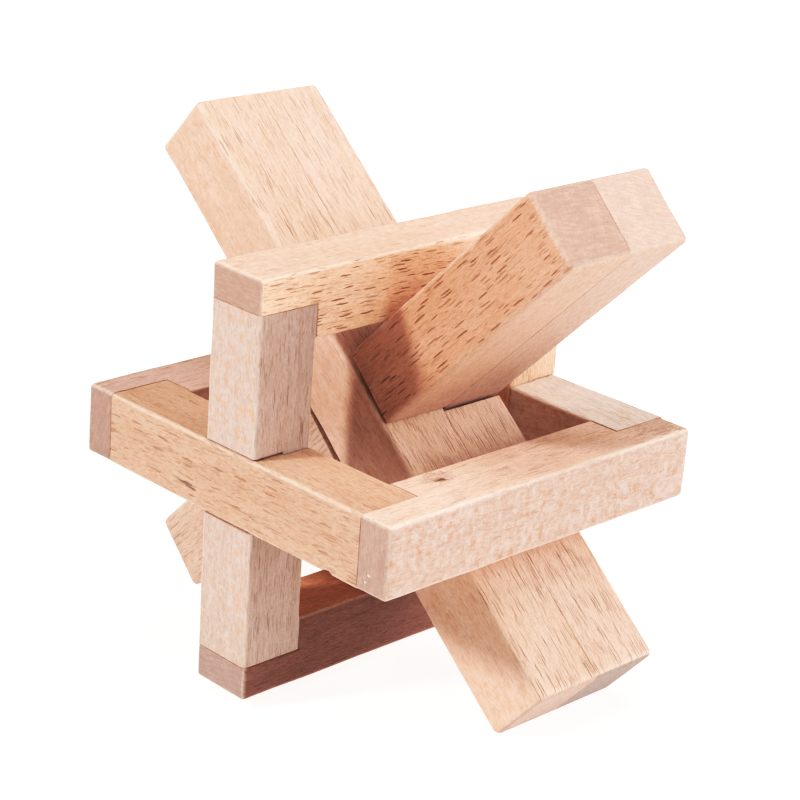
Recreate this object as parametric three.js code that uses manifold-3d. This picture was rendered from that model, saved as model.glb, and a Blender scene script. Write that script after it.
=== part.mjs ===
// Wooden interlocking puzzle: a cage of two crossed frames holds two wide planks that cross in an X.
// Units are millimetres. X runs along the bars of the upright frame, Y from front to back, Z is up.
// The origin is on the table, midway between the planks' feet and at the middle of the cage's length.
import * as THREE from 'three';
import { ConvexGeometry } from 'three/addons/geometries/ConvexGeometry.js';
import { mergeVertices } from 'three/addons/utils/BufferGeometryUtils.js';
import Module from 'manifold-3d';

const wasm = await Module();
wasm.setup();

// Cage: both frames have the same length along X and share their end faces.
const CAGE_LENGTH = 80.6;
const FLAT_FRAME_WIDTH = 84;
const UPRIGHT_FRAME_HEIGHT = 82.8;
const FLAT_STICK = 14.3;
const UPRIGHT_STICK = 13.6;
// Depth along X of the posts and of the flat frame's side bars, which lie in the rebates.
const SIDE_DEPTH = 13.6;
// The cage hangs on the planks with its top leaning slightly to the front.
const CAGE_TILT = THREE.MathUtils.degToRad(2.3);

// Planks: each is two square strips wide. One strip is whole, the other is cut away at the crossing.
const PLANK_LENGTH = 135;
const STRIP = 15.8;
const NOTCH_LENGTH = 17.9;
const PLANK_SLOPE = THREE.MathUtils.degToRad(43.1);
// The planks stand nearer to the right-hand post, with a little play between their whole strips.
const PLANK_OFFSET = 5;
const LAP_PLAY = 0.6;

// Fits and finish.
const GLUE_LINE = 0.2;
const REST_GAP = 0.3;
const EASED_EDGE = 0.6;

// Tones of the beech sticks, from pale to reddish.
const PALE = 0xe2c3a4;
const CREAM = 0xdcb895;
const TAN = 0xd3a981;
const PINK = 0xd0a68a;
const ROSE = 0xc4977b;

const plankWidth = 2 * STRIP + GLUE_LINE;

const flatFrame = {
  name: 'flat_frame',
  width: FLAT_FRAME_WIDTH,
  stick: FLAT_STICK,
  crossingStick: UPRIGHT_STICK,
  notchedFace: 'inner',
  bars: { front_bar: PINK, back_bar: CREAM },
  sides: { left_bar: TAN, right_bar: PALE },
};

const uprightFrame = {
  name: 'upright_frame',
  width: UPRIGHT_FRAME_HEIGHT,
  stick: UPRIGHT_STICK,
  crossingStick: FLAT_STICK,
  notchedFace: 'outer',
  bars: { bottom_bar: ROSE, top_bar: TAN },
  sides: { left_post: PALE, right_post: PINK },
};

function woodMesh(name, geometry, colour) {
  const material = new THREE.MeshStandardMaterial({ color: colour, roughness: 0.62, metalness: 0 });
  const mesh = new THREE.Mesh(geometry, material);
  mesh.name = name;
  return mesh;
}

function toSolid(geometry) {
  const bare = geometry.clone();
  bare.deleteAttribute('normal');
  bare.deleteAttribute('uv');
  const merged = mergeVertices(bare);
  const vertProperties = new Float32Array(merged.attributes.position.array);
  const triVerts = new Uint32Array(merged.index.array);
  return new wasm.Manifold(new wasm.Mesh({ numProp: 3, vertProperties, triVerts }));
}

function toGeometry(solid) {
  const mesh = solid.getMesh();
  const geometry = new THREE.BufferGeometry();
  geometry.setAttribute('position', new THREE.BufferAttribute(mesh.vertProperties, 3));
  geometry.setIndex(new THREE.BufferAttribute(mesh.triVerts, 1));
  geometry.computeVertexNormals();
  return geometry;
}

// A block centred on the origin, with all its edges planed off at 45 degrees.
function easedBlock(width, depth, height) {
  const half = new THREE.Vector3(width, depth, height).divideScalar(2);
  const signs = [-1, 1];
  const points = [];
  for (const x of signs) {
    for (const y of signs) {
      for (const z of signs) {
        for (const flush of ['x', 'y', 'z']) {
          const reach = half.clone().subScalar(EASED_EDGE);
          reach[flush] = half[flush];
          points.push(reach.multiply(new THREE.Vector3(x, y, z)));
        }
      }
    }
  }
  return new ConvexGeometry(points);
}

// A cutter that planes the edges of a frame's window at 45 degrees, on the given face (-1 or 1).
function windowFlare(frame, face) {
  const half = new THREE.Vector2(CAGE_LENGTH / 2 - SIDE_DEPTH, frame.width / 2 - frame.stick);
  const points = [];
  for (const rise of [-EASED_EDGE, EASED_EDGE]) {
    const spread = half.clone().addScalar(rise + EASED_EDGE);
    const z = face * (frame.stick / 2 + rise);
    for (const x of [-spread.x, spread.x]) {
      points.push(new THREE.Vector3(x, -spread.y, z), new THREE.Vector3(x, spread.y, z));
    }
  }
  return toSolid(new ConvexGeometry(points));
}

// An outline in XY made into a slab of the given thickness, centred on Z.
function slab(outline, thickness) {
  const shape = new THREE.Shape(outline.map(([x, y]) => new THREE.Vector2(x, y)));
  const geometry = new THREE.ExtrudeGeometry(shape, { depth: thickness, bevelEnabled: false });
  return geometry.translate(0, 0, -thickness / 2);
}

// The bar at a frame's -Y side. Its outer half runs the frame's whole length and its inner half
// stops at the side sticks, so that each end is a rebate.
function barOutline(frame) {
  const end = CAGE_LENGTH / 2;
  const shoulder = end - SIDE_DEPTH - GLUE_LINE;
  const outer = -frame.width / 2;
  const inner = outer + frame.stick;
  const lip = (outer + inner) / 2;
  return [
    [-end, outer], [end, outer], [end, lip], [shoulder, lip],
    [shoulder, inner], [-shoulder, inner], [-shoulder, lip], [-end, lip],
  ];
}

// The stick at a frame's -X side, held in the rebates of the two bars. Half its depth is cut away
// at mid-length, where the other frame's side stick crosses it.
function sideOutline(frame) {
  const outer = -CAGE_LENGTH / 2;
  const inner = outer + SIDE_DEPTH;
  const end = (frame.width - frame.stick) / 2 - GLUE_LINE;
  const notch = frame.crossingStick / 2 + GLUE_LINE;
  const cutFromOutside = frame.notchedFace === 'outer';
  const [notched, whole] = cutFromOutside ? [outer, inner] : [inner, outer];
  const floor = (outer + inner) / 2 + (cutFromOutside ? GLUE_LINE : -GLUE_LINE) / 2;
  return [
    [whole, -end], [whole, end], [notched, end], [notched, notch],
    [floor, notch], [floor, -notch], [notched, -notch], [notched, -end],
  ];
}

// Two opposite sticks of a frame: the same piece twice, turned by half a turn.
function stickPair(frame, outline, colours) {
  const outside = toSolid(easedBlock(CAGE_LENGTH, frame.width, frame.stick));
  const stick = toSolid(slab(outline, frame.stick)).intersect(outside);
  const geometry = toGeometry(stick.subtract(windowFlare(frame, 1)).subtract(windowFlare(frame, -1)));
  return Object.entries(colours).map(([piece, colour], index) => {
    const mesh = woodMesh(`${frame.name}_${piece}`, geometry, colour);
    mesh.rotation.z = index * Math.PI;
    return mesh;
  });
}

// A frame drawn flat, in the XY plane.
function makeFrame(frame) {
  const group = new THREE.Group();
  group.add(...stickPair(frame, barOutline(frame), frame.bars));
  group.add(...stickPair(frame, sideOutline(frame), frame.sides));
  return group;
}

// Where the centre of the cage comes to hang, measured from the line where the planks cross. The
// lower inside edge of the flat frame's front bar rests on one plank and that of its back bar on
// the other.
function cageDrop() {
  const edgeY = FLAT_FRAME_WIDTH / 2 - FLAT_STICK;
  const edgeZ = -FLAT_STICK / 2;
  const reach = STRIP / 2 + REST_GAP - EASED_EDGE * Math.sin(PLANK_SLOPE - CAGE_TILT);
  const level = reach / Math.cos(PLANK_SLOPE);
  const run = edgeY * Math.cos(CAGE_TILT) * Math.tan(PLANK_SLOPE);
  const lean = edgeY * Math.sin(CAGE_TILT) / Math.tan(PLANK_SLOPE);
  return {
    y: edgeZ * Math.sin(CAGE_TILT) - lean,
    z: level - run - edgeZ * Math.cos(CAGE_TILT),
  };
}

function makeCage() {
  const upright = makeFrame(uprightFrame);
  upright.rotation.x = Math.PI / 2;
  const cage = new THREE.Group();
  cage.add(makeFrame(flatFrame), upright);
  cage.rotation.x = CAGE_TILT;
  return cage;
}

// A block from a plank's end to the notch. Positive ends are at +Y.
function plankBlock(end) {
  const length = (PLANK_LENGTH - NOTCH_LENGTH) / 2;
  const block = new THREE.BoxGeometry(STRIP, length, STRIP);
  return block.translate(0, end * (PLANK_LENGTH - length) / 2, 0);
}

// A plank lying along Y, with its whole strip on the given side: -1 is left, 1 is right.
function makePlank(name, wholeSide, ends, colours) {
  const outside = toSolid(easedBlock(plankWidth, PLANK_LENGTH, STRIP));
  const sideShift = wholeSide * (plankWidth - STRIP) / 2;
  const pieces = {
    long_strip: new THREE.BoxGeometry(STRIP, PLANK_LENGTH, STRIP).translate(sideShift, 0, 0),
    upper_block: plankBlock(ends.upper).translate(-sideShift, 0, 0),
    lower_block: plankBlock(ends.lower).translate(-sideShift, 0, 0),
  };
  const plank = new THREE.Group();
  for (const [piece, geometry] of Object.entries(pieces)) {
    const solid = toSolid(geometry).intersect(outside);
    plank.add(woodMesh(`${name}_${piece}`, toGeometry(solid), colours[piece]));
  }
  return plank;
}

// Height at which the planks cross when both stand on the table on the lower edges of their ends.
function crossingHeight() {
  const corner = PLANK_LENGTH / 2 * Math.sin(PLANK_SLOPE) + STRIP / 2 * Math.cos(PLANK_SLOPE);
  return corner - EASED_EDGE * Math.min(Math.sin(PLANK_SLOPE), Math.cos(PLANK_SLOPE));
}

const backLeaning = makePlank('back_leaning_plank', -1, { upper: 1, lower: -1 }, {
  long_strip: TAN, upper_block: CREAM, lower_block: PALE,
});
backLeaning.rotation.x = PLANK_SLOPE;
backLeaning.position.set(PLANK_OFFSET - LAP_PLAY / 2, 0, crossingHeight());

const frontLeaning = makePlank('front_leaning_plank', 1, { upper: -1, lower: 1 }, {
  long_strip: PALE, upper_block: PINK, lower_block: CREAM,
});
frontLeaning.rotation.x = -PLANK_SLOPE;
frontLeaning.position.set(PLANK_OFFSET + LAP_PLAY / 2, 0, crossingHeight());

const cage = makeCage();
const drop = cageDrop();
cage.position.set(0, drop.y, crossingHeight() + drop.z);

const group = new THREE.Group();
group.add(cage, backLeaning, frontLeaning);

export default group;
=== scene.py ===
"""Wooden interlocking puzzle: a cage of two crossed frames round two half-lapped planks, all of
unvarnished beech sticks. Lengths here are in millimetres, and in metres once in Blender."""

import math

import bmesh
import bpy
import numpy as np
from mathutils import Matrix, Vector, noise


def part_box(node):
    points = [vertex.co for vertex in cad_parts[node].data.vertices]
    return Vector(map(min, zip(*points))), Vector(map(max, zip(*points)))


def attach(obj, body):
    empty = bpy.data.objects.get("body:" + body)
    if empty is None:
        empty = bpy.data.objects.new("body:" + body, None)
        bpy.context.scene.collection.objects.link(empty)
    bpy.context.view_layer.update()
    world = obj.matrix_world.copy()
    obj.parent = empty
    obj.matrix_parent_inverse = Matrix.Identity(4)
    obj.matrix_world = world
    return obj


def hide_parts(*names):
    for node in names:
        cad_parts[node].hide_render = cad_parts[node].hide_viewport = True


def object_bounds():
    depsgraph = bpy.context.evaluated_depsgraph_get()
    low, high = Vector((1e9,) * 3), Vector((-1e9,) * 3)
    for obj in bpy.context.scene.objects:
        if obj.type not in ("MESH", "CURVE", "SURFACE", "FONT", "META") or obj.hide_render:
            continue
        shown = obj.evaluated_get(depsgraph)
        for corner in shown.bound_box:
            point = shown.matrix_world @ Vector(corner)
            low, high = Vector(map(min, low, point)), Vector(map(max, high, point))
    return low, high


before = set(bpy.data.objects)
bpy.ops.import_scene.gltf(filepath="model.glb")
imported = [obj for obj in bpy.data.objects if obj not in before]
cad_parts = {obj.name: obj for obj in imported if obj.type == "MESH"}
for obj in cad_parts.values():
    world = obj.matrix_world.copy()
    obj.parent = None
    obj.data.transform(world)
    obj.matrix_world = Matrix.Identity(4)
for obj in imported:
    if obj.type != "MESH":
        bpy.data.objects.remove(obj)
CAD_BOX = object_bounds()

MM = 0.001

# Driving sizes, the same as the CAD's, but for the hairline between glued sticks.
CAGE_LENGTH = 80.6
FLAT_FRAME_WIDTH = 84.0
UPRIGHT_FRAME_HEIGHT = 82.8
FLAT_STICK = 14.3
UPRIGHT_STICK = 13.6
SIDE_DEPTH = 13.6
PLANK_LENGTH = 135.0
STRIP = 15.8
NOTCH_LENGTH = 17.9
GLUE_GAP = 0.2
PLANK_WIDTH = 2 * STRIP + GLUE_GAP
SEAM = 0.02

# How the sticks are sanded: the radius of their edges, how much and over what length it varies,
# how far wear and the painted edge highlight reach as a share of it, and how far the edges at glued
# joints are broken.
CAGE_ROUNDING = 0.95
WINDOW_ROUNDING = 0.7
PLANK_ROUNDING = 1.25
ROUNDING_VARIES = 0.3
ROUNDING_PITCH = 9.0
WEAR_AND_HIGHLIGHT_REACH = 1.35
JOINT_EASE = 0.04

# How far glued sticks stand out of line, and how quickly that changes from one to the next.
MISFIT = 0.1
MISFIT_TURN = 5.1

# The meshes: grid lines across a rounded edge as shares of its radius, the widest grid steps along
# and across the grain, the corner angle that stays sharp in degrees, the noise's place for each
# seed, and how near two numbers are to count as the same.
ROUNDING_RINGS = (0.18, 0.42, 0.7, 1.0)
LENGTH_STEP = 0.8
CROSS_STEP = 1.5
SHARP_ANGLE = 35
NOISE_PLACE = (7.31, 3.17, 1.93)
SAME_PLACE = 1e-6
NO_LENGTH = 1e-9

CORNERS_OF_FACE = ((0, 0), (1, 0), (1, 1), (0, 1))


# ---------------------------------------------------------------- meshes

def grid_lines(stops, rounding, step):
    """Grid lines along one axis: at every stop, close together beside it, never wider than step."""
    lines = [stops[0]]
    for low, high in zip(stops, stops[1:]):
        reach = min(rounding, (high - low) / 2)
        near = [ring * reach for ring in ROUNDING_RINGS] if high - low > rounding else []
        start, stop = (low + near[-1], high - near[-1]) if near else (low, high)
        lines += [low + d for d in near]
        count = max(1, math.ceil((stop - start) / step))
        lines += [start + (stop - start) * i / count for i in range(1, count)]
        lines += [high - d for d in reversed(near)] + [high]
    kept = [lines[0]]
    for value in lines[1:]:
        if value - kept[-1] > SAME_PLACE:
            kept.append(value)
    return np.array(kept)


def inside(boxes, points):
    """Which points lie inside any of the boxes."""
    hit = np.zeros(len(points), bool)
    for low, high in boxes:
        hit |= np.all((points > low) & (points < high), axis=1)
    return hit


def solid_cells(boxes, lines):
    """Which cells of a grid are inside the union of boxes, with a rim of empty cells round them."""
    centres = [(line[1:] + line[:-1]) / 2 for line in lines]
    points = np.stack(np.meshgrid(*centres, indexing="ij"), -1)
    solid = inside([(np.array(low), np.array(high)) for low, high in boxes], points.reshape(-1, 3))
    return np.pad(solid.reshape(points.shape[:3]), 1)


def face_corners(cell, axis):
    """The grid points round the face between a cell of the rimmed grid and the next one on axis."""
    u, v = [a for a in range(3) if a != axis]
    base = cell - 1
    base[axis] += 1
    corners = []
    for du, dv in CORNERS_OF_FACE:
        point = base.copy()
        point[u] += du
        point[v] += dv
        corners.append(tuple(int(i) for i in point))
    return corners


def shell(boxes, rounding, steps):
    """The outer surface of a union of boxes, on a grid that is fine at edges: vertices, quads, and
    for each vertex the sum of the outward normals of the planes that meet there."""
    lines = []
    for axis in range(3):
        stops = sorted({round(corner[axis], 6) for box in boxes for corner in box})
        lines.append(grid_lines(stops, rounding, steps[axis]))
    solid = solid_cells(boxes, lines)
    numbers, quads, normals = {}, [], []
    for axis in range(3):
        for cell in np.argwhere(np.diff(solid.astype(np.int8), axis=axis)):
            outward = solid[tuple(cell)]
            ring = [numbers.setdefault(p, len(numbers)) for p in face_corners(cell, axis)]
            if outward == (axis == 1):
                ring.reverse()
            quads.append(ring)
            normals.append((axis, 1 if outward else -1))
    vertices = np.array([[lines[a][i[a]] for a in range(3)] for i in numbers])
    lean = np.zeros((len(vertices), 3))
    for ring, (axis, sign) in zip(quads, normals):
        lean[ring, axis] = sign
    return vertices, quads, lean


def rounded_axes(depths):
    """Moves depths (how far each point is into the rounding on each axis) from a cube to a ball."""
    depths = np.clip(depths, 0, None)
    length = np.linalg.norm(depths, axis=1)
    top = depths.max(axis=1)
    share = np.divide(top, length, out=np.ones_like(top), where=length > NO_LENGTH)
    return depths * share[:, None]


def wobble(points, seed, pitch):
    """Smooth noise from -1 to 1 at each point, with features about pitch wide."""
    shift = Vector([seed * k for k in NOISE_PLACE])
    return np.array([noise.noise(Vector(p) / pitch + shift) for p in points])


def round_outside(points, half, rounding, seed):
    """Rounds the edges of a block with these half sizes. Returns the points and their edge wear,
    which also places the painted edge highlight.
    """
    radius = rounding * (1 + ROUNDING_VARIES * wobble(points, seed, ROUNDING_PITCH))[:, None]
    depths = np.abs(points) - (half - radius)
    turned = rounded_axes(depths)
    moved = np.where(depths > 0, np.sign(points) * (half - radius + turned), points)
    reach = WEAR_AND_HIGHLIGHT_REACH * rounding
    worn_and_highlit = np.clip((np.abs(points) - (half - reach)) / reach, 0, 1)
    return moved, np.sort(worn_and_highlit, axis=1)[:, 1]


def round_window(points, half, thickness, rounding):
    """Rounds the edges round a frame's window, whose half sizes are in half. Returns the points and
    their edge wear, which also places the painted edge highlight."""
    beyond = np.abs(points[:, :2]) - half
    axis = beyond.argmax(axis=1)
    gap = beyond.max(axis=1)
    rise = np.abs(points[:, 2]) - (thickness / 2 - rounding)
    depths = np.stack([rounding - gap, rise], 1)
    hit = (depths > 0).all(axis=1) & (gap > -SAME_PLACE)
    turned = rounded_axes(depths)
    moved = points.copy()
    rows = np.flatnonzero(hit)
    across = axis[rows]
    side = np.sign(points[rows, across])
    moved[rows, across] = side * (half[across] + rounding - turned[rows, 0])
    moved[rows, 2] = np.sign(points[rows, 2]) * (thickness / 2 - rounding + turned[rows, 1])
    reach = WEAR_AND_HIGHLIGHT_REACH * rounding
    worn_and_highlit = np.minimum((reach - gap) / reach, (np.abs(points[:, 2]) - thickness / 2 + reach) / reach)
    return moved, np.where(gap > -SAME_PLACE, np.clip(worn_and_highlit, 0, 1), 0)


def nick(points, nicks):
    """Pushes small dents into an edge, each at a place with a radius and depth, towards the middle
    of the stick's section. Points are in the stick's own frame."""
    moved = points.copy()
    for centre, radius, depth in nicks:
        near = np.clip(1 - np.linalg.norm(points - centre, axis=1) / radius, 0, 1)
        moved[:, 1:] -= np.sign(np.array(centre)[1:]) * (depth * near)[:, None]
    return moved


def ease_joints(points, lean, wear_and_highlight):
    """Breaks the crisp edges where sticks are glued, which aren't on the rounded outside. Returns
    the points and how much each is on such an edge."""
    on_edge = np.abs(lean).sum(axis=1) >= 2
    crisp = on_edge * np.clip(1 - wear_and_highlight, 0, 1)
    return points - lean * crisp[:, None] * JOINT_EASE, crisp


def make_mesh(name, points, quads, wear_and_highlight, seam):
    """A smooth-shaded mesh in metres that carries its edge wear, which also places the painted edge
    highlight, and its seam as vertex attributes.
    """
    mesh = bpy.data.meshes.new(name)
    mesh.from_pydata((points * MM).tolist(), [], quads)
    for label, values in (("wear_and_highlight", wear_and_highlight), ("seam", seam)):
        layer = mesh.attributes.new(label, "FLOAT", "POINT")
        layer.data.foreach_set("value", values.astype(np.float32))
    mesh.update()
    fix = bmesh.new()
    fix.from_mesh(mesh)
    bmesh.ops.recalc_face_normals(fix, faces=fix.faces)
    fix.to_mesh(mesh)
    fix.free()
    mesh.polygons.foreach_set("use_smooth", [True] * len(mesh.polygons))
    mesh.set_sharp_from_angle(angle=math.radians(SHARP_ANGLE))
    return mesh


def add_piece(name, mesh, matrix, look, body, slot, node):
    """Puts one stick in the scene, with its wood, and ties it to the CAD."""
    piece = bpy.data.objects.new(name, mesh)
    bpy.context.scene.collection.objects.link(piece)
    piece.matrix_world = matrix
    mesh.materials.append(beech(name, look))
    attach(piece, body)
    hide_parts(node)


# ---------------------------------------------------------------- node helpers

class Graph:
    """Short calls for building a material's node tree."""

    def __init__(self, tree):
        self.tree = tree
        self.tree.nodes.clear()

    def add(self, kind, inputs=(), **settings):
        node = self.tree.nodes.new("ShaderNode" + kind)
        for key, value in settings.items():
            setattr(node, key, value)
        for key, value in dict(inputs).items():
            socket = node.inputs[key]
            if isinstance(value, bpy.types.NodeSocket):
                self.tree.links.new(value, socket)
            else:
                socket.default_value = value
        return node

    def math(self, operation, *values):
        return self.add("Math", enumerate(values), operation=operation).outputs[0]

    def ramp(self, value, low, high, to_low=0.0, to_high=1.0):
        """A smooth step from to_low to to_high as value goes from low to high."""
        inputs = {"Value": value, "From Min": low, "From Max": high,
                  "To Min": to_low, "To Max": to_high}
        return self.add("MapRange", inputs, interpolation_type="SMOOTHSTEP").outputs[0]

    def vector(self, x, y, z):
        return self.add("CombineXYZ", {"X": x, "Y": y, "Z": z}).outputs[0]

    def stretched(self, along, across, depth, sizes):
        """A texture coordinate in cells of the given sizes, in millimetres."""
        return self.vector(*[self.math("DIVIDE", v, s)
                             for v, s in zip((along, across, depth), sizes)])

    def noise(self, vector, detail=2.0, roughness=0.55, distortion=0.0):
        inputs = {"Vector": vector, "Scale": 1.0, "Detail": detail,
                  "Roughness": roughness, "Distortion": distortion}
        return self.add("TexNoise", inputs).outputs[0]

    def cells(self, vector):
        """Distance to the nearest cell centre, and three random numbers for the cell."""
        node = self.add("TexVoronoi", voronoi_dimensions="2D")
        self.tree.links.new(vector, node.inputs["Vector"])
        node.inputs["Scale"].default_value = 1.0
        parts = self.add("SeparateColor", {"Color": node.outputs["Color"]})
        return (node.outputs["Distance"], *parts.outputs[:3])

    def mix(self, factor, first, second, blend="MIX"):
        node = self.add("Mix", data_type="RGBA", blend_type=blend)
        for socket, value in ((node.inputs[0], factor), (node.inputs[6], first),
                              (node.inputs[7], second)):
            if isinstance(value, bpy.types.NodeSocket):
                self.tree.links.new(value, socket)
            else:
                socket.default_value = value
        return node.outputs[2]


def linear(red, green, blue):
    """An sRGB colour in 0..255 as a linear RGBA tuple."""
    def channel(value):
        value /= 255
        return value / 12.92 if value <= 0.04045 else ((value + 0.055) / 1.055) ** 2.4
    return (channel(red), channel(green), channel(blue), 1.0)


def scaled(colour, factor):
    """A colour with its light multiplied."""
    return tuple(c * factor for c in colour[:3]) + (1.0,)


# How strongly red, green and blue change where wood is deeper in tone, and where it is paler.
DEEPENING = (0.6, 1.0, 1.35)
SHIFTING = (0.6, 1.0, 1.5)


def deepened(colour, factor):
    """A darker colour that is also more orange."""
    return tuple(c * factor ** k for c, k in zip(colour, DEEPENING)) + (1.0,)


def ratio(colour, other):
    """What other is multiplied by to give colour."""
    return tuple(a / b for a, b in zip(colour, other))


def shifted(colour, amount):
    """A colour made paler (amount above 0) or darker and warmer (below 0)."""
    return tuple(c * (1 + amount * k) for c, k in zip(colour, SHIFTING)) + (1.0,)


# ---------------------------------------------------------------- beech

# Noise textures: the size of the cells in millimetres along the grain, round the rings and across
# them, then the detail and, where they aren't the usual ones, the roughness and distortion.
CLOUD = ((16, 7, 7), 2.0)
STREAK = ((45, 1.5, 1.5), 3.0, 0.6)
FIBRE = ((1.5, 0.32, 0.32), 2.0, 0.6)
GRIT = ((0.55, 0.34, 0.34), 1.0)
RING_WANDER = ((30, 9, 9), 1.0)
RAY_SHAKE = ((2.6, 1.6, 6), 1.0)
BLOTCH = ((1.5, 6, 1.9), 3.0, 0.6, 0.3)
END_RAYS = ((40, 0.5, 2.6), 2.0, 0.6)
END_PORES = ((3, 0.40, 0.40), 3.0, 0.75)
END_CLOUD = ((9, 3.5, 3.5), 3.0)

# The same, but the cells lie along the stick's own axes and not the rings'.
SIDE_DRIFT = ((55, 22, 22), 1.0)
RISE_DRIFT = ((48, 20, 20), 1.0)
EDGE_PATCHINESS = ((2.2, 0.8, 0.8), 3.0, 0.7)
JOINT_GAPS = ((6, 5, 5), 1.0)
BROKEN_WOOD = ((1.4, 0.7, 0.7), 2.0, 0.7)

# Marks along the grain, one to a cell: the cell in millimetres, the smallest and largest mark as
# parts of the cell, and the softness of its edge.
FLECK = ((7.6, 0.72), 0.08, 0.27, 0.06)
DASH = ((10.5, 0.42), 0.13, 0.27, 0.05)

# Where each texture shows: the values at which it starts and at which it is full.
CLOUD_RANGE = (0.34, 0.66)
STREAK_RANGE = (0.40, 0.72)
DARK_FIBRE_RANGE = (0.48, 0.74)
PALE_FIBRE_RANGE = (0.52, 0.28)
GRIT_RANGE = (0.40, 0.66)
DARK_BLOTCH_RANGE = (0.51, 0.68)
LIGHT_BLOTCH_RANGE = (0.47, 0.34)
BLOTCHY_PATCH_RANGE = (0.35, 0.6)
END_CLOUD_RANGE = (0.3, 0.7)
END_RAY_RANGE = (0.35, 0.7)
END_PORE_RANGE = (0.48, 0.66)
WEAR_AND_HIGHLIGHT_RANGE = (0.30, 0.85)
EDGE_PATCHINESS_RANGE = (0.25, 0.6)
SEAM_RANGE = (0.4, 1.0)
JOINT_GAP_RANGE = (0.35, 0.65)
SPOT_RANGE = (1.1, 0.5)
END_FACE_RANGE = (0.55, 0.85)
RAY_FACE_RANGE = (0.85, 0.25)

# How far each texture deepens the tone or makes it paler, as a factor on its light.
STREAK_DEPTH = 0.72
RING_DEPTH = 0.66
DARK_FIBRE_DEPTH = 0.42
GRIT_DEPTH = 0.5
PALE_FIBRE_LIFT = 1.12
LIGHT_BLOTCH_LIFT = 1.07
END_DARK, END_LIGHT, END_CLOUD_DEPTH, END_PORE_DEPTH, END_RING_DEPTH = 0.92, 1.16, 0.80, 0.66, 0.72

# How strongly the textures that are alike on every stick show, from 0 to 1, and the least that the
# uneven ones show.
PALE_FIBRE_SHOWS = 0.35
GRIT_SHOWS = 0.16
MARKS_LOST_ON_RAY_FACE = 0.85
FAINTEST_MARK = 0.4
LEAST_BLOTCHY = 0.15
LEAST_WORN_AND_HIGHLIT = 0.3
LEAST_SEAM = 0.3
END_CLOUD_SHOWS, END_PORES_SHOW, END_RINGS_SHOW = 0.35, 0.5, 0.22

# Roughness from the fibres' smoothest to roughest, and what end grain, blotches and wear add.
ROUGHNESS = (0.46, 0.66)
ROUGHNESS_RANGE = (0.3, 0.8)
END_ROUGHER, BLOTCH_ROUGHER, WORN_ROUGHER = 0.12, -0.10, -0.06

# Relief, as shares of the bump's depth.
FIBRE_RISE, END_PORE_RISE = 0.8, 0.9
FLECK_RISE, DASH_RISE, GRIT_RISE, TORN_RISE = -0.9, -0.8, -0.7, -2.0

# Where in its log the stick with seed 1 was cut, the span in which the others' places wrap round,
# and how far round the rings from the stick the pith lies, all in millimetres.
LOG_PLACE = (13.7, 7.9, 5.3)
LOG_SPAN = 97
PITH_OFFSET = 40.0

# How far the rings wander, how late in a ring the dark wood comes, how far the rays shake and lean,
# and how ragged a mark's edge is.
RING_WANDER_REACH = 1.3
LATE_WOOD_POWER = 3.0
RAY_SHAKE_REACH = 0.5
RAY_LEAN = 0.4
RAGGED_EDGE = 2.2

FLECK_COLOUR = linear(118, 72, 44)
PORE_COLOUR = linear(114, 76, 52)
BLOTCH_COLOUR = linear(198, 138, 96)
# Paler sanded edges: partly real wear, partly a painted highlight.
WORN_EDGE_HIGHLIGHT_COLOUR = linear(242, 224, 208)
SEAM_COLOUR = linear(108, 70, 52)
MARK_COLOUR = linear(96, 58, 38)
CHIP_COLOUR = linear(248, 236, 226)

# The bump, its depth in millimetres, and the shader's constants.
BUMP_STRENGTH = 0.9
BUMP_DEPTH = 0.14
WOOD_IOR = 1.5
WOOD_SPECULAR = 0.5
SHEEN = 0.12
SHEEN_ROUGHNESS = 0.45


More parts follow.
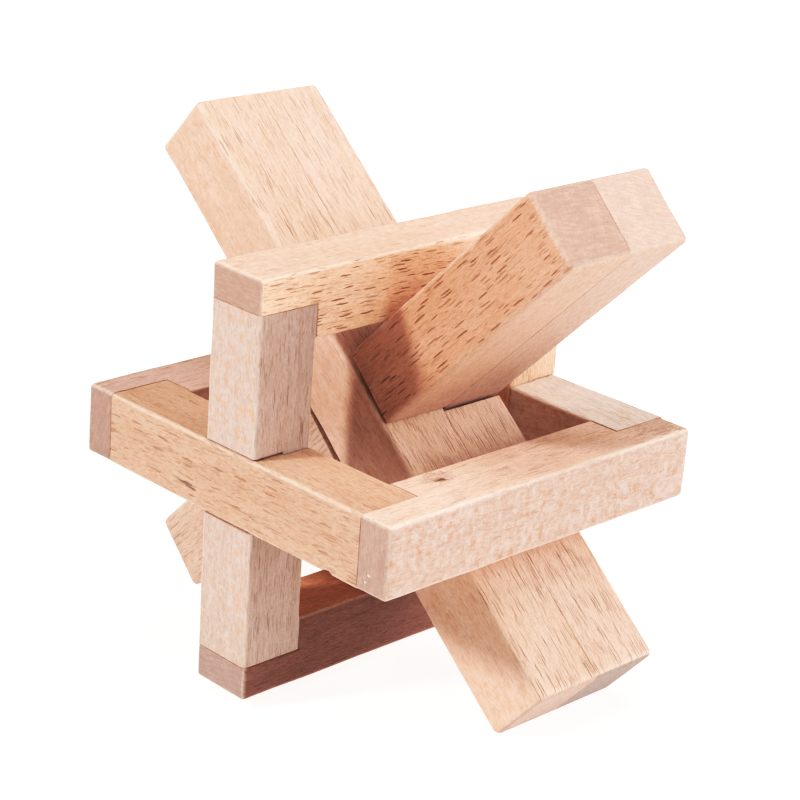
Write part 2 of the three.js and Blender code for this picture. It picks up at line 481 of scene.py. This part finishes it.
class Log:
    """Where a stick's wood lies in its log, as node sockets in millimetres: along the grain, side
    and rise across it on the stick's own axes, and radial and tangent across and round the rings.
    It also says which way the surface faces, and holds the textures that several figures share."""

    def __init__(self, g, look):
        self.g = g
        place = g.add("TexCoord")
        self.place = place.outputs["Object"]
        shift = [look["seed"] * k % LOG_SPAN for k in LOG_PLACE]
        local = g.add("VectorMath", {0: self.place, 1: (1 / MM,) * 3, 2: shift},
                      operation="MULTIPLY_ADD").outputs[0]
        self.along, side, rise = g.add("SeparateXYZ", {0: local}).outputs
        side_drift = g.noise(g.stretched(self.along, side, rise, SIDE_DRIFT[0]), SIDE_DRIFT[1])
        rise_drift = g.noise(g.stretched(self.along, rise, side, RISE_DRIFT[0]), RISE_DRIFT[1])
        self.side = g.math("MULTIPLY_ADD", side_drift, look["drift"], side)
        self.rise = g.math("MULTIPLY_ADD", rise_drift, look["drift"], rise)
        turn = math.radians(look["ring_angle"])
        self.radial = self.turned(self.side, self.rise, math.cos(turn), math.sin(turn))
        self.tangent = self.turned(self.rise, self.side, math.cos(turn), -math.sin(turn))

        facing = g.add("SeparateXYZ", {0: place.outputs["Normal"]}).outputs
        to_radial = self.turned(facing[1], facing[2], math.cos(turn), math.sin(turn))
        self.end_face = g.ramp(g.math("ABSOLUTE", facing[0]), *END_FACE_RANGE)
        self.ray_face = g.ramp(g.math("ABSOLUTE", to_radial), *RAY_FACE_RANGE)

        self.cloud = self.noise(*CLOUD)
        self.fibre = self.noise(*FIBRE)
        self.grit = self.noise(*GRIT)
        self.late_wood = self.rings(look)

    def turned(self, first, second, first_part, second_part):
        """The sum of two sockets, each times its part."""
        return self.g.math("MULTIPLY_ADD", first, first_part,
                           self.g.math("MULTIPLY", second, second_part))

    def noise(self, cell, *details):
        """A noise whose cells lie along the grain and the rings."""
        return self.g.noise(self.g.stretched(self.along, self.tangent, self.radial, cell), *details)

    def stick_noise(self, cell, *details):
        """A noise whose cells lie along the stick's own axes."""
        return self.g.noise(self.g.stretched(self.along, self.side, self.rise, cell), *details)

    def rings(self, look):
        """How near the surface is to the dark end of a growth ring, from 0 to 1."""
        g = self.g
        from_pith = g.math("POWER", g.math("SUBTRACT", self.tangent, PITH_OFFSET), 2.0)
        bow = g.math("DIVIDE", from_pith, 2 * look["pith"])
        ring = g.math("DIVIDE", g.math("ADD", self.radial, bow), look["ring"])
        wandering = g.math("MULTIPLY_ADD", self.noise(*RING_WANDER), RING_WANDER_REACH, ring)
        return g.math("POWER", g.math("FRACT", wandering), LATE_WOOD_POWER)


def flecks(g, along, tangent, cell, low, high, softness, share):
    """Lens-shaped marks along the grain. Each cell of the given size (mm) may hold one, whose size
    is from low to high of the cell's. share is the share of cells that do."""
    distance, first, second, third = g.cells(g.stretched(along, tangent, 0.0, cell + (1.0,)))
    size = g.math("MULTIPLY_ADD", first, high - low, low)
    mark = g.ramp(g.math("SUBTRACT", size, distance), 0.0, softness)
    depth = g.math("MULTIPLY_ADD", third, 1 - FAINTEST_MARK, FAINTEST_MARK)
    return g.math("MULTIPLY", g.math("MULTIPLY", mark, depth), g.math("LESS_THAN", second, share))


def plain_grain(g, log, look, warm, pale):
    """The wood's tone without its rays: slow changes, streaks, growth rings, fibres and grit."""
    tone = g.mix(g.ramp(log.cloud, *CLOUD_RANGE), warm, pale)
    streak = g.ramp(log.noise(*STREAK), *STREAK_RANGE, 0.0, look["streak"])
    tone = g.mix(streak, tone, deepened(warm, STREAK_DEPTH))
    late_wood = g.math("MULTIPLY", log.late_wood, look["rings"])
    tone = g.mix(late_wood, tone, deepened(warm, RING_DEPTH))
    dark_fibre = g.ramp(log.fibre, *DARK_FIBRE_RANGE, 0.0, look["fibre"])
    tone = g.mix(dark_fibre, tone, deepened(warm, DARK_FIBRE_DEPTH))
    pale_fibre = g.ramp(log.fibre, *PALE_FIBRE_RANGE, 0.0, PALE_FIBRE_SHOWS)
    tone = g.mix(pale_fibre, tone, scaled(pale, PALE_FIBRE_LIFT))
    grit = g.ramp(log.grit, *GRIT_RANGE, 0.0, GRIT_SHOWS)
    return g.mix(grit, tone, deepened(warm, GRIT_DEPTH))


def ray_marks(g, log, look):
    """Two sizes of dark mark where the surface cuts the rays across: flecks and fine dashes."""
    flat_face = g.math("MULTIPLY", g.math("SUBTRACT", 1.0, log.end_face),
                       g.math("MULTIPLY_ADD", log.ray_face, -MARKS_LOST_ON_RAY_FACE, 1.0))
    tangent = g.math("MULTIPLY_ADD", log.noise(*RAY_SHAKE), RAY_SHAKE_REACH, log.tangent)
    along = g.math("MULTIPLY_ADD", log.radial, RAY_LEAN, log.along)
    fleck = flecks(g, along, tangent, *FLECK, look["fleck_share"])
    dash = flecks(g, along, tangent, *DASH, look["dash_share"])
    return g.math("MULTIPLY", fleck, flat_face), g.math("MULTIPLY", dash, flat_face)


def ray_blotches(g, log):
    """Broad dark and light blotches where the surface runs with the rays."""
    blotch = log.noise(*BLOTCH)
    patches = g.ramp(log.cloud, *BLOTCHY_PATCH_RANGE, LEAST_BLOTCHY, 1.0)
    patchy = g.math("MULTIPLY", patches, log.ray_face)
    dark = g.math("MULTIPLY", g.ramp(blotch, *DARK_BLOTCH_RANGE), patchy)
    light = g.math("MULTIPLY", g.ramp(blotch, *LIGHT_BLOTCH_RANGE), log.ray_face)
    return dark, light


def end_grain(g, log, end, pores):
    """The tone of the end grain, which is darker: ring arcs, rays as pale lines, pores as dots."""
    rays = g.ramp(log.noise(*END_RAYS), *END_RAY_RANGE)
    tone = g.mix(rays, scaled(end, END_DARK), scaled(end, END_LIGHT))
    cloud = g.ramp(log.noise(*END_CLOUD), *END_CLOUD_RANGE)
    tone = g.mix(g.math("MULTIPLY", cloud, END_CLOUD_SHOWS), tone, scaled(end, END_CLOUD_DEPTH))
    dots = g.ramp(pores, *END_PORE_RANGE, 0.0, END_PORES_SHOW)
    tone = g.mix(dots, tone, scaled(end, END_PORE_DEPTH))
    rings = g.math("MULTIPLY", log.late_wood, END_RINGS_SHOW)
    return g.mix(rings, tone, scaled(end, END_RING_DEPTH))


def worn_and_highlit_edges(g, log):
    """Where the sanded edges are paler, a little unevenly: partly real wear, partly a painted
    highlight.
    """
    wear_and_highlight = g.add("Attribute", attribute_name="wear_and_highlight").outputs["Fac"]
    patchiness = g.ramp(log.stick_noise(*EDGE_PATCHINESS), *EDGE_PATCHINESS_RANGE, LEAST_WORN_AND_HIGHLIT, 1.0)
    return g.math("MULTIPLY", g.ramp(wear_and_highlight, *WEAR_AND_HIGHLIGHT_RANGE), patchiness)


def joint_lines(g, log, look):
    """Where the dark hairlines between glued sticks show."""
    seam = g.add("Attribute", attribute_name="seam").outputs["Fac"]
    least, most = LEAST_SEAM * look["seam"], look["seam"]
    gaps = g.ramp(log.stick_noise(*JOINT_GAPS), *JOINT_GAP_RANGE, least, most)
    return g.math("MULTIPLY", g.ramp(seam, *SEAM_RANGE), gaps)


def spot(g, place, centre, sizes, broken):
    """An ellipsoid mark with a ragged edge, at a centre and with half sizes in millimetres."""
    scale = tuple(1 / (MM * size) for size in sizes)
    offset = tuple(-c / size for c, size in zip(centre, sizes))
    far = g.add("VectorMath", {0: place, 1: scale, 2: offset}, operation="MULTIPLY_ADD").outputs[0]
    distance = g.add("VectorMath", {0: far}, operation="LENGTH").outputs[1]
    ragged = g.math("MULTIPLY_ADD", g.math("SUBTRACT", broken, 0.5), RAGGED_EDGE, distance)
    return g.ramp(ragged, *SPOT_RANGE)


def damage(g, log, look, tone):
    """Adds a stick's knot, tears and chips. Returns the tone and where the wood is torn."""
    broken = log.stick_noise(*BROKEN_WOOD)
    torn = 0.0
    for centre, sizes, strength in look["marks"]:
        mark = spot(g, log.place, centre, sizes, broken)
        colour = MARK_COLOUR if strength > 0 else CHIP_COLOUR
        tone = g.mix(g.math("MULTIPLY", mark, abs(strength)), tone, colour)
        torn = g.math("MAXIMUM", torn, mark)
    return tone, torn


def beech(name, look):
    """Unvarnished beech as a solid texture, cut from its own place in the log."""
    material = bpy.data.materials.new("beech_" + name)
    material.use_nodes = True
    g = Graph(material.node_tree)
    log = Log(g, look)
    middle_tone = linear(*look["tone"])
    warm = shifted(middle_tone, -look["contrast"])
    pale = shifted(middle_tone, look["contrast"])

    fleck, dash = ray_marks(g, log, look)
    dark_blotch, light_blotch = ray_blotches(g, log)
    pores = log.noise(*END_PORES)
    worn_and_highlit = worn_and_highlit_edges(g, log)

    tone = plain_grain(g, log, look, warm, pale)
    tone = g.mix(g.math("MULTIPLY", dash, look["dash"]), tone, PORE_COLOUR)
    tone = g.mix(g.math("MULTIPLY", fleck, look["fleck"]), tone, FLECK_COLOUR)
    tone = g.mix(g.math("MULTIPLY", dark_blotch, look["blotch"]), tone, BLOTCH_COLOUR)
    light_blotches = g.math("MULTIPLY", light_blotch, look["blotch"])
    tone = g.mix(light_blotches, tone, scaled(pale, LIGHT_BLOTCH_LIFT))
    # The faces that run with the rays take their own tone: partly the grain, partly painted light
    # and shade.
    tone = g.mix(log.ray_face, tone, ratio(linear(*look["ray_face_tone_and_shading"]), middle_tone), "MULTIPLY")
    tone = g.mix(log.end_face, tone, end_grain(g, log, linear(*look["end"]), pores))
    # Paler rounded edges: partly real wear, partly a painted highlight along them.
    tone = g.mix(g.math("MULTIPLY", worn_and_highlit, look["wear_and_highlight"]), tone, WORN_EDGE_HIGHLIGHT_COLOUR)
    tone = g.mix(joint_lines(g, log, look), tone, SEAM_COLOUR)
    tone, torn = damage(g, log, look, tone)

    # Bare sanded wood: rough, rougher on the end grain, a little silkier on the ray blotches.
    rough = g.ramp(log.fibre, *ROUGHNESS_RANGE, *ROUGHNESS)
    rough = g.math("MULTIPLY_ADD", log.end_face, END_ROUGHER, rough)
    rough = g.math("MULTIPLY_ADD", light_blotch, BLOTCH_ROUGHER, rough)
    rough = g.math("MULTIPLY_ADD", worn_and_highlit, WORN_ROUGHER, rough)

    # Fibres and end-grain pores stand up; flecks, dashes, grit and torn wood are low.
    relief = g.math("MULTIPLY", log.fibre, FIBRE_RISE)
    relief = g.math("MULTIPLY_ADD", fleck, FLECK_RISE, relief)
    relief = g.math("MULTIPLY_ADD", dash, DASH_RISE, relief)
    relief = g.math("MULTIPLY_ADD", log.grit, GRIT_RISE, relief)
    end_pores = g.math("MULTIPLY", pores, log.end_face)
    relief = g.math("MULTIPLY_ADD", end_pores, END_PORE_RISE, relief)
    relief = g.math("MULTIPLY_ADD", torn, TORN_RISE, relief)
    bump = g.add("Bump", {"Height": relief, "Strength": BUMP_STRENGTH, "Distance": BUMP_DEPTH * MM})

    shader = g.add("BsdfPrincipled", {
        "Base Color": tone, "Roughness": rough, "Normal": bump.outputs[0],
        "IOR": WOOD_IOR, "Specular IOR Level": WOOD_SPECULAR,
        "Sheen Weight": SHEEN, "Sheen Roughness": SHEEN_ROUGHNESS})
    output = g.add("OutputMaterial")
    g.tree.links.new(shader.outputs[0], output.inputs[0])
    return material


# Damage, each mark at a centre and with half sizes in its stick's own frame, and with a strength,
# which is below 0 for a pale chip. A nick has a place on an edge, a radius and a depth.
PIN_KNOT = (((-18.2, 2.9, 7.2), (1.5, 0.8, 1.5), 0.95), ((-18.2, 4.0, 7.2), (3.6, 2.6, 2.0), 0.3))
TORN_PATCH = (((35.0, -0.8, 7.1), (6.0, 5.0, 0.6), 0.22), ((33.0, 1.6, 7.1), (3.6, 0.5, 0.6), 0.5))
END_CHIPS = (((-40.3, -2.7, -3.4), (0.6, 0.6, 0.3), -0.4),
             ((-40.3, -2.0, -4.9), (0.6, 0.4, 0.3), -0.4))
DARK_STREAK = (((12.0, 6.8, -3.3), (2.6, 0.6, 0.45), 0.7),
               ((10.4, 6.8, -3.8), (1.6, 0.6, 0.3), 0.7))
EDGE_NICK = ((-26.6, 6.8, -7.1), 1.6, 0.5)

# How each stick differs: its colours, how its rings lie, how strongly each figure shows, and its
# damage. ring_angle is in degrees, from the stick's own Y to the way across the rings. pith is the
# rings' radius, ring their width, drift the grain's bend and offset a shift across the frame, in
# millimetres. The faces that run with the rays have a tone of their own, partly the grain's own
# change and partly painted light and shade: lighter or darker than the stick's other faces by how
# light falls on them. Where it isn't given, it is the same as tone.
PLAIN_LOOK = {
    "contrast": 0.045, "end": (185, 148, 132), "ring_angle": 80, "pith": 90,
    "ring": 2.6, "drift": 2.0, "streak": 0.35, "rings": 0.22, "fibre": 0.42,
    "fleck_share": 0.6, "fleck": 0.25, "dash_share": 0.45, "dash": 0.5,
    "blotch": 0.35, "wear_and_highlight": 0.28, "seam": 0.55, "offset": 0.0, "marks": (), "nicks": (),
}

LOOKS = {
    "flat_frame_front_bar": {
        "tone": (215, 180, 162), "ray_face_tone_and_shading": (191, 161, 148), "end": (166, 135, 122),
        "ring_angle": 84, "blotch": 0.75, "fleck": 0.2, "dash": 0.6,
        "marks": PIN_KNOT + TORN_PATCH + END_CHIPS},
    "flat_frame_back_bar": {
        "tone": (190, 158, 145), "end": (156, 125, 112), "ring_angle": 70, "fleck": 0.4},
    "flat_frame_left_bar": {
        "tone": (186, 148, 126), "ring_angle": 38, "fleck": 0.6, "dash": 0.4, "fibre": 0.5,
        "seam": 0.85, "offset": -0.2, "marks": DARK_STREAK, "nicks": (EDGE_NICK,)},
    "flat_frame_right_bar": {"tone": (218, 200, 189), "ring_angle": 86, "blotch": 0.4},
    "upright_frame_bottom_bar": {
        "tone": (124, 83, 69), "ray_face_tone_and_shading": (172, 123, 97), "end": (156, 129, 118),
        "ring_angle": 84, "blotch": 0.15, "streak": 0.6, "fibre": 0.46},
    "upright_frame_top_bar": {
        "tone": (243, 200, 174), "ray_face_tone_and_shading": (221, 181, 161), "end": (167, 134, 118),
        "ring_angle": 86, "fleck": 0.85, "fleck_share": 0.9, "dash": 0.3, "fibre": 0.46,
        "blotch": 0.3},
    "upright_frame_left_post": {
        "tone": (183, 159, 149), "ray_face_tone_and_shading": (185, 161, 150), "ring_angle": 84, "blotch": 0.55,
        "dash": 0.6, "fibre": 0.34},
    "upright_frame_right_post": {"tone": (225, 185, 159), "ring_angle": 60},
    "back_leaning_plank_long_strip": {
        "tone": (214, 178, 159), "ray_face_tone_and_shading": (206, 168, 149), "ring_angle": 78, "dash": 0.8,
        "dash_share": 0.8, "fibre": 0.3, "blotch": 0.3, "wear_and_highlight": 0.1, "seam": 0.12},
    "back_leaning_plank_upper_block": {
        "tone": (216, 181, 163), "ring_angle": 66, "fleck": 0.2, "dash": 0.7,
        "dash_share": 0.6, "fibre": 0.3, "wear_and_highlight": 0.1, "seam": 0.12},
    "back_leaning_plank_lower_block": {
        "tone": (216, 180, 162), "end": (150, 127, 115), "ring_angle": 74, "dash": 0.65,
        "dash_share": 0.8, "fibre": 0.28, "wear_and_highlight": 0.1, "seam": 0.12},
    "front_leaning_plank_long_strip": {
        "tone": (194, 157, 139), "end": (204, 169, 153), "ring_angle": 20, "dash": 0.3,
        "fleck": 0.1, "wear_and_highlight": 0.1, "seam": 0.12},
    "front_leaning_plank_upper_block": {
        "tone": (190, 144, 121), "ray_face_tone_and_shading": (198, 157, 136), "end": (181, 146, 131),
        "ring_angle": 6, "fleck": 0.9, "fleck_share": 0.9, "dash": 0.3, "blotch": 0.25,
        "wear_and_highlight": 0.15, "seam": 0.12},
    "front_leaning_plank_lower_block": {
        "tone": (189, 157, 140), "ring_angle": 30, "wear_and_highlight": 0.1, "seam": 0.12},
}


def look_of(node):
    """A stick's look, with its seed from its place in the table."""
    look = {**PLAIN_LOOK, "seed": 1 + list(LOOKS).index(node), **LOOKS[node]}
    look.setdefault("ray_face_tone_and_shading", look["tone"])
    return look


# ---------------------------------------------------------------- the cage

def middle(*nodes):
    """The mean of the nodes' box centres, in metres."""
    return sum(((a + b) / 2 for a, b in map(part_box, nodes)), Vector()) / len(nodes)


def cage_matrix():
    """Where the cage hangs, and how it leans, taken from its top and bottom bars."""
    bottom, top = middle("upright_frame_bottom_bar"), middle("upright_frame_top_bar")
    rise = top - bottom
    tilt = math.atan2(-rise.y, rise.z)
    return Matrix.Translation((top + bottom) / 2) @ Matrix.Rotation(tilt, 4, "X")


def bar_boxes(width, stick):
    """The bar at a frame's -Y side: a full-length outer half and a shorter inner half."""
    end, outer = CAGE_LENGTH / 2, -width / 2
    shoulder = end - SIDE_DEPTH - SEAM
    lip, inner, half = outer + stick / 2, outer + stick, stick / 2
    return [((-end, outer, -half), (end, lip, half)),
            ((-shoulder, lip, -half), (shoulder, inner, half))]


def side_boxes(width, stick, crossing, notched_outside):
    """The stick at a frame's -X side, with half its depth cut away where the other frame passes."""
    outer = -CAGE_LENGTH / 2
    inner = outer + SIDE_DEPTH
    floor = (outer + inner) / 2
    end, notch, half = (width - stick) / 2 - SEAM, crossing / 2 + GLUE_GAP, stick / 2
    kept = (floor, inner) if notched_outside else (outer, floor)
    return [((outer, -end, -half), (inner, -notch, half)),
            ((kept[0], -notch, -half), (kept[1], notch, half)),
            ((outer, notch, -half), (inner, end, half))]


def misfit(look):
    """How far a glued stick of a frame stands out of line with its neighbours, across the frame."""
    return Vector((0, 0, MISFIT * math.sin(MISFIT_TURN * look["seed"]) + look["offset"]))


def cage_stick(node, boxes, width, stick, grain_along_y, steps):
    """A stick of a frame as a mesh whose own X runs along the grain, and its place in the frame."""
    points, quads, lean = shell(boxes, CAGE_ROUNDING, steps)
    half = np.array([CAGE_LENGTH / 2, width / 2, stick / 2])
    window = np.array([CAGE_LENGTH / 2 - SIDE_DEPTH, width / 2 - stick])
    points, inner_wear_and_highlight = round_window(points, window, stick, WINDOW_ROUNDING)
    look = look_of(node)
    points, outer_wear_and_highlight = round_outside(points, half, CAGE_ROUNDING, look["seed"])
    wear_and_highlight = np.maximum(inner_wear_and_highlight, outer_wear_and_highlight)
    points, seam = ease_joints(points, lean, wear_and_highlight)
    low, high = np.min([b[0] for b in boxes], 0), np.max([b[1] for b in boxes], 0)
    centre = Vector((low + high) / 2)
    turn = Matrix.Rotation(math.pi / 2 if grain_along_y else 0, 4, "Z")
    place = Matrix.Translation((centre + misfit(look)) * MM) @ turn
    points = nick((points - np.array(centre)) @ np.array(turn.to_3x3()), look["nicks"])
    return make_mesh(node, points, quads, wear_and_highlight, seam), place


def make_frame(name, width, stick, crossing, notched_outside, bars, sides, matrix):
    """Four sticks of a frame drawn flat in XY. The second of each pair is turned half a turn."""
    kinds = (
        (bars, bar_boxes(width, stick), False, (LENGTH_STEP, CROSS_STEP, CROSS_STEP)),
        (sides, side_boxes(width, stick, crossing, notched_outside), True,
         (CROSS_STEP, LENGTH_STEP, CROSS_STEP)),
    )
    for pieces, boxes, grain_along_y, steps in kinds:
        for index, (piece, slot) in enumerate(pieces.items()):
            node = f"{name}_{piece}"
            mesh, place = cage_stick(node, boxes, width, stick, grain_along_y, steps)
            world = matrix @ Matrix.Rotation(index * math.pi, 4, "Z") @ place
            add_piece("beech_" + node, mesh, world, look_of(node), "cage", slot, node)


def make_cage():
    """The flat frame and the upright one, which is a frame turned up on its side."""
    cage = cage_matrix()
    make_frame("flat_frame", FLAT_FRAME_WIDTH, FLAT_STICK, UPRIGHT_STICK, False,
               {"front_bar": "pink_beech", "back_bar": "cream_beech"},
               {"left_bar": "tan_beech", "right_bar": "pale_beech"}, cage)
    make_frame("upright_frame", UPRIGHT_FRAME_HEIGHT, UPRIGHT_STICK, FLAT_STICK, True,
               {"bottom_bar": "rose_beech", "top_bar": "tan_beech"},
               {"left_post": "pale_beech", "right_post": "pink_beech"},
               cage @ Matrix.Rotation(math.pi / 2, 4, "X"))


# ---------------------------------------------------------------- the planks

def plank_matrix(name, upper_end):
    """Where a plank lies, and its slope, taken from its two blocks. Its X comes from its strips."""
    upper, lower = middle(name + "_upper_block"), middle(name + "_lower_block")
    centre = (upper + lower) / 2
    centre.x = (middle(name + "_long_strip").x + centre.x) / 2
    along = (upper - lower) * upper_end
    return Matrix.Translation(centre) @ Matrix.Rotation(math.atan2(along.z, along.y), 4, "X")


def plank_stick(node, low, high):
    """One strip or block of a plank, rounded only where it is on the plank's outside."""
    boxes = [(low, high)]
    points, quads, lean = shell(boxes, PLANK_ROUNDING, (CROSS_STEP, LENGTH_STEP, CROSS_STEP))
    half = np.array([PLANK_WIDTH / 2, PLANK_LENGTH / 2, STRIP / 2])
    points, wear_and_highlight = round_outside(points, half, PLANK_ROUNDING, look_of(node)["seed"])
    points, seam = ease_joints(points, lean, wear_and_highlight)
    centre = (np.array(low) + np.array(high)) / 2
    turn = Matrix.Rotation(math.pi / 2, 4, "Z")
    place = Matrix.Translation(Vector(centre) * MM) @ turn
    points = (points - centre) @ np.array(turn.to_3x3())
    return make_mesh(node, points, quads, wear_and_highlight, seam), place


def make_plank(name, whole_side, upper_end, slots):
    """A long strip on one side (-1 left, 1 right) and two blocks on the other, glued together."""
    matrix = plank_matrix(name, upper_end)
    seam = SEAM / 2
    half_width, half_length, half = PLANK_WIDTH / 2, PLANK_LENGTH / 2, STRIP / 2
    notch = NOTCH_LENGTH / 2

    def span(side):
        return sorted((side * seam, side * half_width))

    spans = {
        "long_strip": (span(whole_side), (-half_length, half_length)),
        "upper_block": (span(-whole_side), sorted((upper_end * notch, upper_end * half_length))),
        "lower_block": (span(-whole_side), sorted((-upper_end * notch, -upper_end * half_length))),
    }
    for piece, (x, y) in spans.items():
        node = f"{name}_{piece}"
        mesh, place = plank_stick(node, (x[0], y[0], -half), (x[1], y[1], half))
        add_piece("beech_" + node, mesh, matrix @ place, look_of(node), name, slots[piece], node)


def make_planks():
    """The two planks: the first has its upper end at +Y, the second at -Y."""
    make_plank("back_leaning_plank", -1, 1, {
        "long_strip": "tan_beech", "upper_block": "cream_beech", "lower_block": "pale_beech"})
    make_plank("front_leaning_plank", 1, -1, {
        "long_strip": "pale_beech", "upper_block": "pink_beech", "lower_block": "cream_beech"})


# ---------------------------------------------------------------- stage, light and camera

# The camera: the point it looks at, its distance in metres, its lens and sensor in millimetres.
CAMERA_AIM = Vector((2.21, -2.34, 51.22)) * MM
CAMERA_DISTANCE = 0.4496
CAMERA_AZIMUTH = math.radians(-45.03)
CAMERA_ELEVATION = math.radians(19.17)
CAMERA_ROLL = math.radians(2.41)
CAMERA_LENS = 104.8
SENSOR_WIDTH = 36.0
CLIP_NEAR, CLIP_FAR = 0.01, 20.0

# The film: the light that it shows as white, its gamma, and what it shows for a given light, on the
# curve that the three colours share, which is Blender's fourth.
FILM_WHITE = 1.6
FILM_GAMMA = 1 / 1.2
COMBINED_CURVE = 3
FILM_CURVE = ((0.1, 0.10), (0.3, 0.45), (0.5, 0.72), (0.75, 0.91))

# Softboxes: azimuth, elevation and spread in degrees, and strength in W/m2.
LIGHTS = {
    "key": (-112, 35, 9, 4.0),
    "right_fill": (47, 19, 44, 3.5),
    "front_fill": (12, 24, 44, 0.62),
    "top_fill": (0, 86, 44, 2.62),
}

# The room: its colour at floor level and above, the heights between which it changes (as the z of
# a unit vector), and its strength.
ROOM_LOW, ROOM_HIGH = (0.50, 0.40, 0.34, 1.0), (0.075, 0.058, 0.05, 1.0)
ROOM_HEIGHTS = (0.02, 0.30)
ROOM_STRENGTH = 1.25

# The floor: from its middle to its sides in metres, its grid, its matt grey, and its glow, which
# stands in for a brightly lit white sweep.
FLOOR_REACH = 6.0
FLOOR_CELLS = 4
FLOOR_GREY = 0.34
FLOOR_ROUGHNESS = 0.9
FLOOR_SPECULAR = 0.1
FLOOR_GLOW = (1.0, 0.96, 0.94, 1.0)
FLOOR_GLOW_STRENGTH = 1.26


def direction(azimuth, elevation):
    """The unit vector from the object towards that azimuth (0 is -Y, 90 is +X) and elevation."""
    return Vector((math.sin(azimuth) * math.cos(elevation),
                   -math.cos(azimuth) * math.cos(elevation), math.sin(elevation)))


def set_film():
    """The photo's contrast: soft in the lights and steep in the shades."""
    view = bpy.context.scene.view_settings
    view.view_transform = "Standard"
    view.gamma = FILM_GAMMA
    view.use_curve_mapping = True
    view.curve_mapping.white_level = (FILM_WHITE,) * 3
    curve = view.curve_mapping.curves[COMBINED_CURVE]
    for light, shown in FILM_CURVE:
        curve.points.new(light, shown)
    view.curve_mapping.update()


def make_camera():
    data = bpy.data.cameras.new("camera")
    data.lens = CAMERA_LENS
    data.sensor_width = SENSOR_WIDTH
    data.clip_start, data.clip_end = CLIP_NEAR, CLIP_FAR
    camera = bpy.data.objects.new("camera", data)
    bpy.context.scene.collection.objects.link(camera)
    back = direction(CAMERA_AZIMUTH, CAMERA_ELEVATION)
    turn = (-back).to_track_quat("-Z", "Y").to_matrix().to_4x4()
    camera.matrix_world = (Matrix.Translation(CAMERA_AIM + back * CAMERA_DISTANCE) @ turn
                           @ Matrix.Rotation(CAMERA_ROLL, 4, "Z"))
    bpy.context.scene.camera = camera


def softbox(name, azimuth, elevation, spread, strength):
    """A distant white softbox that covers spread degrees as the object sees it."""
    data = bpy.data.lights.new(name, "SUN")
    data.angle = math.radians(spread)
    data.energy = strength
    light = bpy.data.objects.new(name, data)
    bpy.context.scene.collection.objects.link(light)
    back = direction(math.radians(azimuth), math.radians(elevation))
    turn = (-back).to_track_quat("-Z", "Y").to_matrix().to_4x4()
    light.matrix_world = Matrix.Translation(CAMERA_AIM + back) @ turn


def make_surroundings():
    """A dim warm room that is brighter near the level of the floor."""
    world = bpy.data.worlds.new("studio")
    world.use_nodes = True
    g = Graph(world.node_tree)
    place = g.add("TexCoord")
    height = g.add("SeparateXYZ", {0: place.outputs["Generated"]}).outputs[2]
    colour = g.mix(g.ramp(height, *ROOM_HEIGHTS), ROOM_LOW, ROOM_HIGH)
    background = g.add("Background", {"Color": colour, "Strength": ROOM_STRENGTH})
    output = g.add("OutputWorld")
    g.tree.links.new(background.outputs[0], output.inputs[0])
    bpy.context.scene.world = world


def make_lights():
    for name, settings in LIGHTS.items():
        softbox(name, *settings)


def floor_material():
    """A matt pale grey that glows."""
    material = bpy.data.materials.new("pale_floor")
    material.use_nodes = True
    shader = material.node_tree.nodes["Principled BSDF"]
    shader.inputs["Base Color"].default_value = (FLOOR_GREY,) * 3 + (1.0,)
    shader.inputs["Roughness"].default_value = FLOOR_ROUGHNESS
    shader.inputs["Specular IOR Level"].default_value = FLOOR_SPECULAR
    shader.inputs["Emission Color"].default_value = FLOOR_GLOW
    shader.inputs["Emission Strength"].default_value = FLOOR_GLOW_STRENGTH
    return material


def make_floor():
    """A wide pale floor at the height of the object's lowest point."""
    mesh = bpy.data.meshes.new("floor")
    grid = bmesh.new()
    bmesh.ops.create_grid(grid, x_segments=FLOOR_CELLS, y_segments=FLOOR_CELLS, size=FLOOR_REACH)
    grid.to_mesh(mesh)
    grid.free()
    mesh.materials.append(floor_material())
    floor = bpy.data.objects.new("floor", mesh)
    bpy.context.scene.collection.objects.link(floor)
    floor.location.z = CAD_BOX[0].z


set_film()
make_camera()
make_cage()
make_planks()
make_lights()
make_surroundings()
make_floor()
